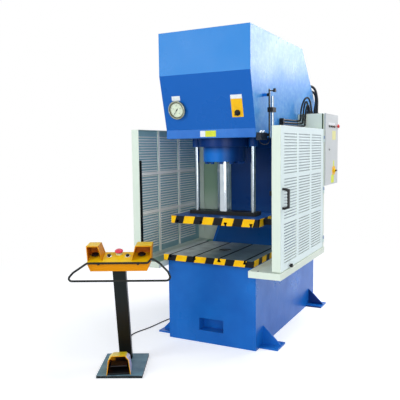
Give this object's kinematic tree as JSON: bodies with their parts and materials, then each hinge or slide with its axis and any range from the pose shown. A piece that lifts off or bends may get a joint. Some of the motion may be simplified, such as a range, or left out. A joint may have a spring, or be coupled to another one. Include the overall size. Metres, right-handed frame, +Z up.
{
  "type": "hydraulic press",
  "caption": "Open-front hydraulic press with a slotted table, a guided platen, slotted swing guards, a side cabinet and a free-standing two-hand control pedestal.",
  "frame": {"origin": "centre of the four floor anchor holes, on the floor", "axes": "+X to the operator's right, +Y to the rear, +Z up"},
  "size_m": [1.5179, 2.8728, 2.7],
  "materials": {
    "frame_paint": "smooth blue enamel",
    "inner_paint": "darker blue enamel",
    "guard_paint": "cream powder coat",
    "cabinet_paint": "pale grey-green powder coat",
    "door_paint": "pale grey powder coat",
    "table_steel": "ground and oiled plate with painted warning bands on its edges",
    "platen_paint": "yellow and black bands",
    "dark_steel": "satin black",
    "chromed_steel": "polished hard chrome",
    "bright_steel": "plain steel",
    "stand_paint": "yellow-orange enamel",
    "slate_plate": "slate grey steel plate",
    "black_plastic": "moulded",
    "black_rubber": "smooth cable sheath",
    "red_plastic": "glossy red",
    "switch_plastic": "red handle",
    "gauge_face": "white dial in a dark ring",
    "clear_glass": "clear"
  },
  "bodies": {
    "frame": {"right_side_plate": "frame_paint", "left_side_plate": "frame_paint", "base_front": "frame_paint", "throat_wall": "inner_paint", "head_bottom_plate": "inner_paint", "head_front_cover": "frame_paint", "head_top_cover": "frame_paint", "rear_panel": "frame_paint", "feet": "frame_paint", "table": "table_steel", "guide_bushes": "dark_steel", "cylinder_barrel": "frame_paint", "gland_bolts": "bright_steel", "power_unit": "frame_paint", "gauge_case": "gauge_face", "gauge_lens": "clear_glass", "limit_rail": "dark_steel", "limit_switch": "dark_steel", "head_junction_box": "black_plastic", "door_hinges": "bright_steel", "rear_guards": "guard_paint", "side_trays": "guard_paint", "cabinet_box": "cabinet_paint", "conduits": "black_plastic", "cable_glands": "black_plastic", "stand_plate": "slate_plate", "stand_post": "dark_steel", "console": "stand_paint", "guard_ring": "dark_steel", "foot_hood": "stand_paint", "pedal_base": "dark_steel", "control_cable": "black_rubber"},
    "platen": {"platen": "platen_paint", "tie_bar": "dark_steel", "ram": "chromed_steel", "guide_rods": "chromed_steel", "limit_arm": "dark_steel", "limit_rod": "chromed_steel", "limit_dog": "dark_steel"},
    "gauge_needle": {"gauge_needle": "dark_steel"},
    "selector_knob": {"selector_knob": "black_plastic"},
    "rail_knob": {"rail_knob": "black_plastic"},
    "left_door": {"left_door": "guard_paint", "left_latch_bar": "dark_steel"},
    "right_door": {"right_door": "guard_paint", "right_handle": "black_plastic", "right_latch_bar": "dark_steel"},
    "left_star_knob": {"left_star_knob": "black_plastic"},
    "right_star_knob": {"right_star_knob": "black_plastic"},
    "cabinet_door": {"cabinet_door": "door_paint"},
    "cabinet_stop_button": {"cabinet_stop_button": "red_plastic"},
    "main_switch": {"main_switch": "switch_plastic"},
    "cabinet_lock": {"cabinet_lock": "bright_steel"},
    "left_palm_button": {"left_palm_button": "black_plastic"},
    "right_palm_button": {"right_palm_button": "black_plastic"},
    "console_stop_button": {"console_stop_button": "red_plastic"},
    "left_start_button": {"left_start_button": "black_plastic"},
    "right_start_button": {"right_start_button": "black_plastic"},
    "foot_pedal": {"foot_pedal": "dark_steel"}
  },
  "joints": [
    {"name": "platen_slide", "type": "slide", "parent": "frame", "child": "platen", "axis": [0, 0, 1], "range_m": [-0.09, 0.35]},
    {"name": "gauge_needle_turn", "type": "hinge", "parent": "frame", "child": "gauge_needle", "pos_m": [-0.28, -0.90114, 2.055], "axis": [0, 0.9722, 0.2341], "range_deg": [0, 270], "stiffness_Nm_per_rad": 0.0006, "springref_deg": -22.92},
    {"name": "selector_turn", "type": "hinge", "parent": "frame", "child": "selector_knob", "pos_m": [0.276, -0.8899, 2.00833], "axis": [0, 0.9722, 0.2341], "range_deg": [0, 90]},
    {"name": "rail_knob_turn", "type": "hinge", "parent": "frame", "child": "rail_knob", "pos_m": [0.483, -0.698, 2.19], "axis": [1, 0, 0], "range_deg": [-180, 180]},
    {"name": "left_door_hinge", "type": "hinge", "parent": "frame", "child": "left_door", "pos_m": [-0.6985, 0.243, 1.312], "axis": [0, 0, -1], "range_deg": [0, 90]},
    {"name": "left_star_knob_turn", "type": "hinge", "parent": "left_door", "child": "left_star_knob", "pos_m": [-0.692, -0.804, 0.752], "axis": [-1, 0, 0], "range_deg": [-180, 180]},
    {"name": "right_door_hinge", "type": "hinge", "parent": "frame", "child": "right_door", "pos_m": [0.6985, 0.243, 1.312], "axis": [0, 0, 1], "range_deg": [0, 90]},
    {"name": "right_star_knob_turn", "type": "hinge", "parent": "right_door", "child": "right_star_knob", "pos_m": [0.692, -0.804, 0.752], "axis": [1, 0, 0], "range_deg": [-180, 180]},
    {"name": "cabinet_door_hinge", "type": "hinge", "parent": "frame", "child": "cabinet_door", "pos_m": [0.6903, 0.782, 1.691], "axis": [0, 0, 1], "range_deg": [0, 110]},
    {"name": "cabinet_stop_push", "type": "slide", "parent": "cabinet_door", "child": "cabinet_stop_button", "axis": [-1, 0, 0], "range_m": [0, 0.006], "stiffness_N_per_m": 900, "springref_m": -0.003},
    {"name": "main_switch_turn", "type": "hinge", "parent": "cabinet_door", "child": "main_switch", "pos_m": [0.7023, 0.626, 1.473], "axis": [1, 0, 0], "range_deg": [0, 90]},
    {"name": "cabinet_lock_turn", "type": "hinge", "parent": "cabinet_door", "child": "cabinet_lock", "pos_m": [0.7023, 0.418, 1.691], "axis": [1, 0, 0], "range_deg": [0, 90]},
    {"name": "left_palm_button_push", "type": "slide", "parent": "frame", "child": "left_palm_button", "axis": [-0.1183, 0.2393, -0.9637], "range_m": [0, 0.008], "stiffness_N_per_m": 800, "springref_m": -0.003},
    {"name": "right_palm_button_push", "type": "slide", "parent": "frame", "child": "right_palm_button", "axis": [-0.1183, 0.2393, -0.9637], "range_m": [0, 0.008], "stiffness_N_per_m": 800, "springref_m": -0.003},
    {"name": "console_stop_button_push", "type": "slide", "parent": "frame", "child": "console_stop_button", "axis": [-0.1183, 0.2393, -0.9637], "range_m": [0, 0.006], "stiffness_N_per_m": 900, "springref_m": -0.003},
    {"name": "left_start_button_push", "type": "slide", "parent": "frame", "child": "left_start_button", "axis": [-0.1183, 0.2393, -0.9637], "range_m": [0, 0.004], "stiffness_N_per_m": 500, "springref_m": -0.003},
    {"name": "right_start_button_push", "type": "slide", "parent": "frame", "child": "right_start_button", "axis": [-0.1183, 0.2393, -0.9637], "range_m": [0, 0.004], "stiffness_N_per_m": 500, "springref_m": -0.003},
    {"name": "foot_pedal_swing", "type": "hinge", "parent": "frame", "child": "foot_pedal", "pos_m": [-0.40698, -1.66853, 0.056], "axis": [0.8453, 0.5344, 0], "range_deg": [0, 7], "stiffness_Nm_per_rad": 12, "springref_deg": -11.46}
  ]
}
